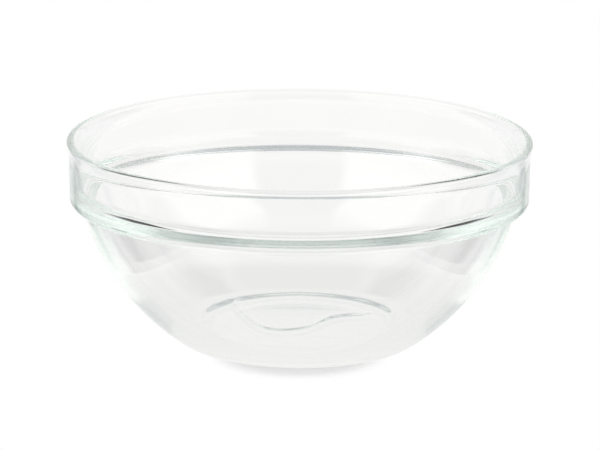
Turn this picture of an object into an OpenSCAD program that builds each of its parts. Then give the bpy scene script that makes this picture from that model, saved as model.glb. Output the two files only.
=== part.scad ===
// Stacking salad bowl in clear pressed glass: one revolved wall, open at the top.
// Millimetres, +Z up. The origin is on the axis, in the plane that the foot rests on.

/* [Overall] */
// Diameter over the lip
rim_d = 230; // [200:1:270]
// Height from the foot to the top of the lip
bowl_h = 103; // [92:1:125]

/* [Lip] */
// Diameter of the round bead that makes the lip, in section
lip_d = 4; // [3.4:0.1:6]
// How far the lip stands out past the collar
lip_overhang = 1.2; // [0.6:0.1:2]
// Radius of the hollow between the lip and the collar
lip_hollow = 26; // [8:1:36]

/* [Collar] */
// Depth from the top of the lip to where the shoulder starts to turn in
collar_h = 29.2; // [26:0.1:36]
// Thickness of the collar at its foot
collar_t = 3.3; // [2.6:0.1:4.5]
// How far the collar's outer face draws in between the lip and the shoulder
collar_draft = 0.3; // [0:0.1:1.5]

/* [Shoulder] */
// Step from the collar's outer face in to the wall, which seats on the lip of a bowl below
shoulder_step = 6.2; // [5:0.1:7.5]
// Radius of the shoulder's rounded underside
shoulder_round = 3; // [2.6:0.1:4.5]
// Radius of the hollow between the shoulder and the wall
shoulder_hollow = 1.4; // [1:0.1:3]
// Depth from the top of the lip to the lowest point of the cove's circle
ledge_depth = 28.2; // [22:0.1:29.5]
// Radius of the cove that runs from the collar's inner face on to the ledge
ledge_fillet = 9.6; // [4:0.1:12]
// Radius of the rounded edge that runs from the cove down into the wall
ledge_round = 6.4; // [1:0.1:9]

/* [Wall] */
// Radius of the wall's outer curve in section
wall_radius = 115.6; // [108:0.1:130]
// Thickness of the wall, taken along its radius, at the height of that curve's centre
wall_t = 5.4; // [3:0.1:6.5]
// How far the inner curve's centre lies above the outer one, which thickens the wall downwards
wall_gain = 3.8; // [0:0.1:5]

/* [Base] */
// Outer diameter of the flat ring that the bowl rests on
foot_d = 103; // [90:1:112]
// Radius of the heel between the foot and the wall
heel_round = 15; // [8:0.5:30]
// Height of the floor inside above the foot
floor_h = 5.4; // [4:0.1:10]
// Radius of the floor's turn up into the wall
floor_round = 22; // [15:1:45]
// Diameter of the domed hollow in the underside
punt_d = 70; // [50:1:80]
// Depth of that hollow at the axis
punt_depth = 0.6; // [0.4:0.1:2]

/* [Hidden] */
// Greatest distance between a chord of the outline and its true arc
chord_error = 0.02;
// Number of sides of the revolved form
round_sides = 180;

lip_r = lip_d / 2;
collar_r = rim_d / 2 - lip_overhang;
collar_foot_r = collar_r - collar_draft;
shoulder_z = bowl_h - collar_h;
ledge_z = bowl_h - ledge_depth;
collar_inner_r = collar_foot_r - collar_t;
foot_r = foot_d / 2;
punt_r = punt_d / 2;
inner_radius = wall_radius - wall_t;

// Centres of the arcs, each tangent to the next, from the foot up the outside
heel_c = [foot_r, heel_round];
shoulder_c = [collar_foot_r - shoulder_round, shoulder_z];
hollow_c = below(shoulder_c, collar_foot_r - shoulder_step + shoulder_hollow, shoulder_round + shoulder_hollow);
wall_c = crossing(heel_c, wall_radius - heel_round, hollow_c, wall_radius + shoulder_hollow);
lip_c = [rim_d / 2 - lip_r, bowl_h - lip_r];
lip_hollow_c = below(lip_c, collar_r + lip_hollow, lip_r + lip_hollow);

// Centres of the arcs down the inside
inner_c = wall_c + [0, wall_gain];
ledge_fillet_c = [collar_inner_r - ledge_fillet, ledge_z + ledge_fillet];
ledge_edge_c = crossing(ledge_fillet_c, ledge_fillet + ledge_round, inner_c, inner_radius + ledge_round);
floor_c = beside(inner_c, floor_h + floor_round, inner_radius - floor_round);

// The dome of the punt is an arc through its rim, with its centre on the axis
punt_radius = (punt_r ^ 2 + punt_depth ^ 2) / (2 * punt_depth);
punt_c = [0, punt_depth - punt_radius];

// The point at radius x that lies a distance d from c, underneath it
function below(c, x, d) = [x, c.y - sqrt(d ^ 2 - (x - c.x) ^ 2)];

// The point at height y that lies a distance d from c, on its outer side
function beside(c, y, d) = [c.x + sqrt(d ^ 2 - (y - c.y) ^ 2), y];

// The point a distance r from a and s from b, on the left of the line from a to b
function crossing(a, r, b, s) =
    let (
        gap = norm(b - a),
        along = (gap ^ 2 + r ^ 2 - s ^ 2) / (2 * gap),
        aside = sqrt(r ^ 2 - along ^ 2),
        dir = (b - a) / gap
    )
    a + along * dir + aside * [-dir.y, dir.x];

// The direction from a to b, in degrees
function heading(a, b) = atan2(b.y - a.y, b.x - a.x);

// Points of the arc about c from direction a0 to direction a1
function arc(c, r, a0, a1) =
    let (steps = ceil(abs(a1 - a0) / (2 * acos(1 - chord_error / r))))
    [for (i = [0 : steps]) let (a = a0 + (a1 - a0) * i / steps) c + r * [cos(a), sin(a)]];

// Runs of points joined end to end, with a point that two runs share kept once
function chain(runs) =
    [for (i = [0 : len(runs) - 1], j = [0 : len(runs[i]) - 1])
        let (last = i == 0 ? undef : runs[i - 1][len(runs[i - 1]) - 1])
        if (i == 0 || j > 0 || norm(runs[i][j] - last) > chord_error) runs[i][j]];

// The outline of half the section: underside, outer face, lip, inner face and floor
function outline() = chain([
    arc(punt_c, punt_radius, 90, heading(punt_c, [punt_r, 0])),
    arc(heel_c, heel_round, -90, heading(wall_c, heel_c)),
    arc(wall_c, wall_radius, heading(wall_c, heel_c), heading(wall_c, hollow_c)),
    arc(hollow_c, shoulder_hollow, heading(hollow_c, wall_c), heading(hollow_c, shoulder_c)),
    arc(shoulder_c, shoulder_round, heading(shoulder_c, hollow_c), 0),
    arc(lip_hollow_c, lip_hollow, 180, heading(lip_hollow_c, lip_c)),
    arc(lip_c, lip_r, heading(lip_c, lip_hollow_c), 180),
    arc(ledge_fillet_c, ledge_fillet, 0, heading(ledge_fillet_c, ledge_edge_c)),
    arc(ledge_edge_c, ledge_round, heading(ledge_edge_c, ledge_fillet_c), heading(ledge_edge_c, inner_c)),
    arc(inner_c, inner_radius, heading(inner_c, ledge_edge_c), heading(inner_c, floor_c)),
    arc(floor_c, floor_round, heading(inner_c, floor_c), -90),
    [[0, floor_h]]
]);

module bowl() {
    color([0.80, 0.90, 0.86, 0.35])
        rotate_extrude($fn = round_sides)
            polygon(outline());
}

bowl();
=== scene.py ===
import math

import bpy
import numpy as np
from mathutils import Euler, Matrix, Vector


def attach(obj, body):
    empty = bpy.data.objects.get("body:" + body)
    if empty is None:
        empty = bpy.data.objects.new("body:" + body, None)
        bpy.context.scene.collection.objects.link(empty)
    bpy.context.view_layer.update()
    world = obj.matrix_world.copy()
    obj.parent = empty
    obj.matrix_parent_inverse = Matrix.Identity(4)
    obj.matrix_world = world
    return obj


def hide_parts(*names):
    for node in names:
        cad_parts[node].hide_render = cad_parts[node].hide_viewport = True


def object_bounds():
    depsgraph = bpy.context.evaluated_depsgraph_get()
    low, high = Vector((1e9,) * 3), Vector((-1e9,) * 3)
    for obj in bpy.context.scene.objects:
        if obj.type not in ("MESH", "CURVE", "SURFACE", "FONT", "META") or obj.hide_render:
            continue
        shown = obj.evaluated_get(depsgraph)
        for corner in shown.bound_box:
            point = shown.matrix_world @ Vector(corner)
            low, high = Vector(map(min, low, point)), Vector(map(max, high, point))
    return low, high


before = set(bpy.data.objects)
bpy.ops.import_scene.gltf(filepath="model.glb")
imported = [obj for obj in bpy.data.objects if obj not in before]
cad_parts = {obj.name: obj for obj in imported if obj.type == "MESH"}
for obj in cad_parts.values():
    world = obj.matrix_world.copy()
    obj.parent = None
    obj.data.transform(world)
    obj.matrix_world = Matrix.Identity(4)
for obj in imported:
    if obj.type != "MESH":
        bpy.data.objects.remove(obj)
cad_low, cad_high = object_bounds()

# Sizes of the bowl in millimetres, as the solids have them
MM = 0.001
RIM_R = cad_high.x / MM
BOWL_H = cad_high.z / MM
LIP_R = 2.0
LIP_OVERHANG = 1.2
LIP_HOLLOW = 26.0
COLLAR_H = 29.2
COLLAR_T = 3.3
COLLAR_DRAFT = 0.3
SHOULDER_STEP = 6.2
SHOULDER_ROUND = 3.0
SHOULDER_HOLLOW = 1.4
LEDGE_DEPTH = 28.2
LEDGE_FILLET = 9.6
LEDGE_ROUND = 6.4
WALL_RADIUS = 115.6
WALL_T = 5.4
WALL_GAIN = 3.8
FOOT_R = 51.5
HEEL_ROUND = 15.0
FLOOR_H = 5.4
FLOOR_ROUND = 22.0
PUNT_R = 35.0
PUNT_DEPTH = 0.6

# Low ridge on the floor in millimetres, which the solids don't have
RIDGE_H = 0.6
RIDGE_W = 2.4
RIDGE_FRONT = -14.0
LEFT_BEND_X = -4.0
LEFT_BEND_W = 28.3
LEFT_BEND_RISE = 40.0
RIGHT_BEND_X = 10.5
RIGHT_BEND_SOFT = 4.25
RIGHT_BEND_RISE = 25.0
RIDGE_END_R = 46.0
RIDGE_END_R_SOFT = 1.0
RIDGE_END_X = 36.0
RIDGE_END_X_SOFT = 2.0

# Fineness of the surface, in sides, millimetres and degrees
ROUND_SIDES = 288
LONGEST_STEP = 1.6
FLOOR_STEP = 0.6
WIDEST_TURN = 7.0

# Colours
WHITE = (1, 1, 1, 1)
WARM_WHITE = (1, 0.992, 0.984, 1)
COOL_WHITE = (0.80, 0.93, 1.0, 1)
GLASS_TINT = (0.985, 0.99, 0.988, 1)
GLASS_DEPTH = (0.72, 0.80, 0.755, 1)

# Places of the colour sockets on a Mix node
MIX_FIRST = 6
MIX_SECOND = 7
MIX_RESULT = 2


# Shape

def below(centre, x, distance):
    """The point at radius x that lies a distance from the centre, underneath it."""
    return np.array([x, centre[1] - math.sqrt(distance**2 - (x - centre[0]) ** 2)])


def beside(centre, y, distance):
    """The point at height y that lies a distance from the centre, on its outer side."""
    return np.array([centre[0] + math.sqrt(distance**2 - (y - centre[1]) ** 2), y])


def crossing(a, r, b, s):
    """The point a distance r from a and s from b, on the left of the line from a to b."""
    gap = np.linalg.norm(b - a)
    along = (gap**2 + r**2 - s**2) / (2 * gap)
    aside = math.sqrt(r**2 - along**2)
    way = (b - a) / gap
    return a + along * way + aside * np.array([-way[1], way[0]])


def heading(a, b):
    """The direction from a to b in degrees."""
    return math.degrees(math.atan2(b[1] - a[1], b[0] - a[0]))


def arc(centre, radius, start, end):
    """Points on a circle about the centre, from one direction in degrees to another."""
    turn = abs(end - start)
    steps = max(2, math.ceil(turn / WIDEST_TURN), math.ceil(radius * math.radians(turn) / LONGEST_STEP))
    angle = np.radians(np.linspace(start, end, steps + 1))
    return np.asarray(centre) + radius * np.stack([np.cos(angle), np.sin(angle)], axis=1)


def straight(start, end, step=LONGEST_STEP):
    """Evenly spaced points from start to end, at most a step apart."""
    steps = max(1, math.ceil(np.linalg.norm(np.subtract(end, start)) / step))
    share = np.linspace(0, 1, steps + 1)[:, None]
    return np.asarray(start) * (1 - share) + np.asarray(end) * share


def section():
    """Half the bowl's section as radius and height: tangent arcs and straight runs from the axis on the
    underside, round the foot, up the outside, over the lip and down the inside to the axis on the floor."""
    collar_r = RIM_R - LIP_OVERHANG
    collar_foot_r = collar_r - COLLAR_DRAFT
    shoulder_z = BOWL_H - COLLAR_H
    ledge_z = BOWL_H - LEDGE_DEPTH
    inner_radius = WALL_RADIUS - WALL_T
    heel = np.array([FOOT_R, HEEL_ROUND])
    shoulder = np.array([collar_foot_r - SHOULDER_ROUND, shoulder_z])
    hollow_r = collar_foot_r - SHOULDER_STEP + SHOULDER_HOLLOW
    hollow = below(shoulder, hollow_r, SHOULDER_ROUND + SHOULDER_HOLLOW)
    wall = crossing(heel, WALL_RADIUS - HEEL_ROUND, hollow, WALL_RADIUS + SHOULDER_HOLLOW)
    lip = np.array([RIM_R - LIP_R, BOWL_H - LIP_R])
    lip_hollow = below(lip, collar_r + LIP_HOLLOW, LIP_R + LIP_HOLLOW)
    inner = wall + [0, WALL_GAIN]
    fillet = np.array([collar_foot_r - COLLAR_T - LEDGE_FILLET, ledge_z + LEDGE_FILLET])
    edge = crossing(fillet, LEDGE_FILLET + LEDGE_ROUND, inner, inner_radius + LEDGE_ROUND)
    floor = beside(inner, FLOOR_H + FLOOR_ROUND, inner_radius - FLOOR_ROUND)
    punt_radius = (PUNT_R**2 + PUNT_DEPTH**2) / (2 * PUNT_DEPTH)
    punt = np.array([0, PUNT_DEPTH - punt_radius])
    runs = [
        arc(punt, punt_radius, 90, heading(punt, [PUNT_R, 0])),
        straight([PUNT_R, 0], [FOOT_R, 0]),
        arc(heel, HEEL_ROUND, -90, heading(wall, heel)),
        arc(wall, WALL_RADIUS, heading(wall, heel), heading(wall, hollow)),
        arc(hollow, SHOULDER_HOLLOW, heading(hollow, wall), heading(hollow, shoulder)),
        arc(shoulder, SHOULDER_ROUND, heading(shoulder, hollow), 0),
        straight([collar_foot_r, shoulder_z], [collar_r, lip_hollow[1]]),
        arc(lip_hollow, LIP_HOLLOW, 180, heading(lip_hollow, lip)),
        arc(lip, LIP_R, heading(lip, lip_hollow), 180),
        straight([RIM_R - 2 * LIP_R, lip[1]], [collar_foot_r - COLLAR_T, fillet[1]]),
        arc(fillet, LEDGE_FILLET, 0, heading(fillet, edge)),
        arc(edge, LEDGE_ROUND, heading(edge, fillet), heading(edge, inner)),
        arc(inner, inner_radius, heading(inner, edge), heading(inner, floor)),
        arc(floor, FLOOR_ROUND, heading(inner, floor), -90),
        straight([floor[0], FLOOR_H], [0, FLOOR_H], FLOOR_STEP),
    ]
    points = np.concatenate([runs[0]] + [run[1:] for run in runs[1:]])
    points[[0, -1], 0] = 0
    return points


def fading(value, limit, soft):
    """A logistic step: near one well under the limit, a half at the limit and near nought well over it."""
    return (1 - np.tanh((value - limit) / (2 * soft))) / 2


def floor_ridge(x, y):
    """Height in millimetres of the low ridge on the floor: a bell curve of the distance from a line in plan,
    which is a cubic rise on its left and a logistic step on its right, and fades out at its two ends."""
    left = np.maximum(0, (LEFT_BEND_X - x) / LEFT_BEND_W)
    right = fading(-x, -RIGHT_BEND_X, RIGHT_BEND_SOFT)
    line = LEFT_BEND_RISE * left**3 + RIGHT_BEND_RISE * right + RIDGE_FRONT
    left_slope = 3 * LEFT_BEND_RISE * left**2 / LEFT_BEND_W
    right_slope = RIGHT_BEND_RISE * right * (1 - right) / RIGHT_BEND_SOFT
    gap = (y - line) / np.sqrt(1 + (right_slope - left_slope) ** 2)
    outer_end = fading(np.hypot(x, y), RIDGE_END_R, RIDGE_END_R_SOFT)
    right_end = fading(x, RIDGE_END_X, RIDGE_END_X_SOFT)
    return RIDGE_H * outer_end * right_end * np.exp(-((gap / RIDGE_W) ** 2))


def revolved(name, outline, sides):
    """A closed surface: the outline's radius and height carried once round the axis, point (r, z) to
    (r cos a, r sin a, z), with one vertex where the outline starts and one where it ends on the axis. The
    floor's ridge is added to the heights on the inside."""
    ring = outline[1:-1]
    rows = len(ring)
    angle = np.linspace(0, 2 * math.pi, sides, endpoint=False)
    grid = np.empty((rows, sides, 3))
    grid[..., 0] = ring[:, :1] * np.cos(angle)
    grid[..., 1] = ring[:, :1] * np.sin(angle)
    grid[..., 2] = ring[:, 1:]
    inside = slice(np.argmax(ring[:, 1]), None)
    grid[inside, :, 2] += floor_ridge(grid[inside, :, 0], grid[inside, :, 1])
    poles = np.array([[0, 0, outline[0, 1]], [0, 0, outline[-1, 1] + floor_ridge(0, 0)]])
    points = np.concatenate([grid.reshape(-1, 3), poles]) * MM
    index = np.arange(rows * sides).reshape(rows, sides)
    after = np.roll(index, -1, axis=1)
    quads = np.stack([index[:-1], after[:-1], after[1:], index[1:]], axis=-1).reshape(-1, 4)
    first, last = rows * sides, rows * sides + 1
    start_fan = np.stack([np.full(sides, first), after[0], index[0]], axis=-1)
    end_fan = np.stack([np.full(sides, last), index[-1], after[-1]], axis=-1)
    mesh = bpy.data.meshes.new(name)
    mesh.from_pydata(points, [], quads.tolist() + start_fan.tolist() + end_fan.tolist())
    mesh.polygons.foreach_set("use_smooth", np.ones(len(mesh.polygons), dtype=bool))
    mesh.update()
    piece = bpy.data.objects.new(name, mesh)
    bpy.context.scene.collection.objects.link(piece)
    return piece


# Shading

class Value:
    """A socket's output, with operators that add Math nodes."""

    def __init__(self, tree, socket):
        self.tree = tree
        self.socket = socket

    def math(self, operation, first, second):
        return self.tree.add("ShaderNodeMath", {"operation": operation}, {0: first, 1: second})

    def __add__(self, other):
        return self.math("ADD", self, other)

    def __mul__(self, other):
        return self.math("MULTIPLY", self, other)

    def __sub__(self, other):
        return self.math("SUBTRACT", self, other)

    def __rsub__(self, other):
        return self.math("SUBTRACT", other, self)

    __radd__ = __add__
    __rmul__ = __mul__


class Tree:
    """A material's or a world's nodes."""

    def __init__(self, owner):
        owner.use_nodes = True
        self.nodes = owner.node_tree.nodes
        self.links = owner.node_tree.links
        self.nodes.clear()

    def add(self, kind, settings, sockets, output=0):
        """Makes one node, sets its settings, then its sockets, and gives one of its outputs, if any."""
        node = self.nodes.new(kind)
        for name, setting in settings.items():
            setattr(node, name, setting)
        for name, value in sockets.items():
            if isinstance(value, Value):
                self.links.new(value.socket, node.inputs[name])
            else:
                node.inputs[name].default_value = value
        return Value(self, node.outputs[output]) if len(node.outputs) else None

    def blend(self, factor, first, second):
        """A colour that goes from the first to the second as the factor goes from nought to one."""
        sockets = {"Factor": factor, MIX_FIRST: first, MIX_SECOND: second}
        return self.add("ShaderNodeMix", {"data_type": "RGBA"}, sockets, MIX_RESULT)

    def ramp(self, value, start, end):
        """A smooth rise from nought at start to one at end."""
        sockets = {"Value": value, "From Min": start, "From Max": end, "To Min": 0.0, "To Max": 1.0}
        return self.add("ShaderNodeMapRange", {"interpolation_type": "SMOOTHSTEP"}, sockets)


def clear_glass():
    """Fire-polished clear glass with a faint grey-green depth, and slow ripples left by the mould."""
    material = bpy.data.materials.new("clear_glass")
    tree = Tree(material)
    place = tree.add("ShaderNodeTexCoord", {}, {}, "Object")
    cloud = tree.add("ShaderNodeTexNoise", {}, {"Vector": place, "Scale": 14.0, "Detail": 2.0})
    ripple = tree.add("ShaderNodeTexNoise", {}, {"Vector": place, "Scale": 45.0, "Detail": 1.0})
    wavy = tree.add("ShaderNodeBump", {}, {"Strength": 0.03, "Distance": 0.001, "Height": ripple})
    most_rough = 0.012
    surface = tree.add("ShaderNodeBsdfPrincipled", {}, {
        "Base Color": tree.blend(cloud, WHITE, GLASS_TINT),
        "Roughness": most_rough * cloud,
        "Normal": wavy,
        "IOR": 1.52,
        "Transmission Weight": 1.0,
    })
    depth = tree.add("ShaderNodeVolumeAbsorption", {}, {"Color": GLASS_DEPTH, "Density": 3.6})
    tree.add("ShaderNodeOutputMaterial", {}, {"Surface": surface, "Volume": depth})
    return material


# Stage

def glass_sight(tree):
    """One for rays that the glass has mirrored or let through, and nought for the rest."""
    mirrored = tree.add("ShaderNodeLightPath", {}, {}, "Is Glossy Ray")
    through = tree.add("ShaderNodeLightPath", {}, {}, "Is Transmission Ray")
    return tree.add("ShaderNodeClamp", {}, {"Value": mirrored + through})


def plain_floor():
    """A white sheet under the bowl, running far back. The eye sees the shadow in front of the foot alone,
    and the glass sees a painted shadow: the sheet glows a little dimmer under the bowl. Lengths are in
    metres."""
    side, front, back = 0.130, -0.70, 6.0
    sheet_z = -0.0002
    shadow_middle = (0, -0.03, 0)
    shadow_edge = (0.030, 0.046)
    foot_edge = (0.045, 0.065)
    rim_edge = (0.100, 0.125)
    shadow_level = 0.60
    painted_shadow_under_foot = 0.92
    painted_shadow_dip_under_wall = 0.04
    painted_shadow_rise_past_rim = 0.09
    corners = [(-side, front, 0), (side, front, 0), (side, back, 0), (-side, back, 0)]
    mesh = bpy.data.meshes.new("floor")
    mesh.from_pydata(corners, [], [(0, 1, 2, 3)])
    floor = bpy.data.objects.new("floor", mesh)
    floor.location.z = sheet_z
    bpy.context.scene.collection.objects.link(floor)
    material = bpy.data.materials.new("white_floor")
    tree = Tree(material)
    place = tree.add("ShaderNodeTexCoord", {}, {}, "Object")
    from_axis = tree.add("ShaderNodeVectorMath", {"operation": "LENGTH"}, {0: place}, "Value")
    from_shadow = tree.add("ShaderNodeVectorMath", {"operation": "DISTANCE"},
                           {0: place, 1: shadow_middle}, "Value")
    eye = tree.add("ShaderNodeLightPath", {}, {}, "Is Camera Ray")
    glass = glass_sight(tree)
    lit = shadow_level + (1 - shadow_level) * tree.ramp(from_shadow, *shadow_edge)
    # Painted shadow for rays from the glass: the sheet glows at 0.92 under the foot, 0.88 under the wall and
    # 0.97 past the rim, in place of the bowl's shadow
    painted_shadow_to_wall = painted_shadow_under_foot - painted_shadow_dip_under_wall * tree.ramp(from_axis, *foot_edge)
    under = painted_shadow_to_wall + painted_shadow_rise_past_rim * tree.ramp(from_axis, *rim_edge)
    paper = tree.add("ShaderNodeBsdfDiffuse", {}, {"Color": WHITE})
    cast = tree.blend(glass, WHITE, WARM_WHITE)
    # The glow's strength carries that painted shadow for rays from the glass, and is one for the eye
    glow = tree.add("ShaderNodeEmission", {}, {"Color": cast, "Strength": 1 + glass * (under - 1)})
    surface = tree.add("ShaderNodeMixShader", {}, {0: eye * lit + glass, 1: paper, 2: glow})
    tree.add("ShaderNodeOutputMaterial", {}, {"Surface": surface})
    mesh.materials.append(material)


def panel(tree, aside, height, sides, ends):
    """One inside a soft-edged patch of the surround, given in degrees, and nought outside it."""
    soft = 4
    inside = 1
    for value, (low, high) in ((aside, sides), (height, ends)):
        inside = tree.ramp(value, low - soft, low + soft) * inside
        inside = (1 - tree.ramp(value, high - soft, high + soft)) * inside
    return inside


def studio_world():
    """White to the eye. The glass sees a pale room, with a bright low wall and soft boxes beside the camera,
    a white sweep behind, dim gaps and dark flags between them, and a dark drop below. Each panel has its two
    sides in degrees round from the front, alike on the left and the right, its lower and upper end in
    degrees above the horizon, and its strength. A later panel covers an earlier one."""
    world = bpy.data.worlds.new("studio")
    bpy.context.scene.world = world
    tree = Tree(world)
    way = tree.add("ShaderNodeTexCoord", {}, {}, "Generated")
    x, y, z = (tree.add("ShaderNodeSeparateXYZ", {}, {0: way}, axis) for axis in range(3))
    degrees = 180 / math.pi
    aside = x.math("ARCTAN2", x.math("ABSOLUTE", x, 0.0), 0 - y) * degrees
    height = z.math("ARCSINE", z, 0.0) * degrees
    panels = {
        "room_floor": ((-20, 200), (-100, 0), 0.90),
        "table_front": ((-20, 50), (-100, 0), 0.92),
        "table_drop": ((15, 200), (-100, -40), 0.02),
        "side_drop": ((85, 133), (-45, -25), 0.03),
        "low_wall": ((-20, 116), (-7, 18), 1.30),
        "camera_gap": ((-20, 25), (18, 55), 0.55),
        "soft_box": ((28, 92), (17, 51), 1.70),
        "dark_flag": ((114, 148), (26, 54), 0.04),
        "sweep": ((150, 200), (-100, 75), 0.95),
        "back_gap": ((146, 155), (-26, 4), 0.45),
        "side_gap": ((112, 150), (20, 34), 0.40),
        "ceiling": ((-20, 200), (60, 100), 0.45),
    }
    room = 0.80
    for sides, ends, strength in panels.values():
        patch = panel(tree, aside, height, sides, ends)
        room = room + patch * (strength - room)
    seen = glass_sight(tree)
    level = 1 + seen * (room - 1)
    cast = tree.blend(seen, WHITE, tree.blend(room, COOL_WHITE, WARM_WHITE))
    light = tree.add("ShaderNodeBackground", {}, {"Color": cast, "Strength": level})
    tree.add("ShaderNodeOutputWorld", {}, {"Surface": light})


def photo_camera():
    """A long lens at the photo's place: far in front, half a metre above the rim, tilted down."""
    image_w = 600
    focal_px = 4818.1
    shift_px = 0.69
    sensor_mm = 36
    distance = 2.317
    height_over_rim = 0.5282
    pitch = math.radians(13.882)
    roll = math.radians(0.347)
    data = bpy.data.cameras.new("photo_camera")
    data.sensor_width = sensor_mm
    data.lens = sensor_mm * focal_px / image_w
    data.shift_x = shift_px / image_w
    camera = bpy.data.objects.new("photo_camera", data)
    turn = Euler((math.pi / 2 - pitch, 0, 0)).to_matrix() @ Matrix.Rotation(roll, 3, "Z")
    camera.rotation_euler = turn.to_euler()
    camera.location = (0, -distance, BOWL_H * MM + height_over_rim)
    bpy.context.scene.collection.objects.link(camera)
    bpy.context.scene.camera = camera


bowl = revolved("glass_bowl", section(), ROUND_SIDES)
bowl.data.materials.append(clear_glass())
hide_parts("bowl")
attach(bowl, "root")
plain_floor()
studio_world()
photo_camera()

# Enough bounces for light to pass through every wall of the glass
bounces = 64
scene = bpy.context.scene
scene.view_settings.view_transform = "Standard"
scene.cycles.max_bounces = bounces
scene.cycles.glossy_bounces = bounces
scene.cycles.transmission_bounces = bounces
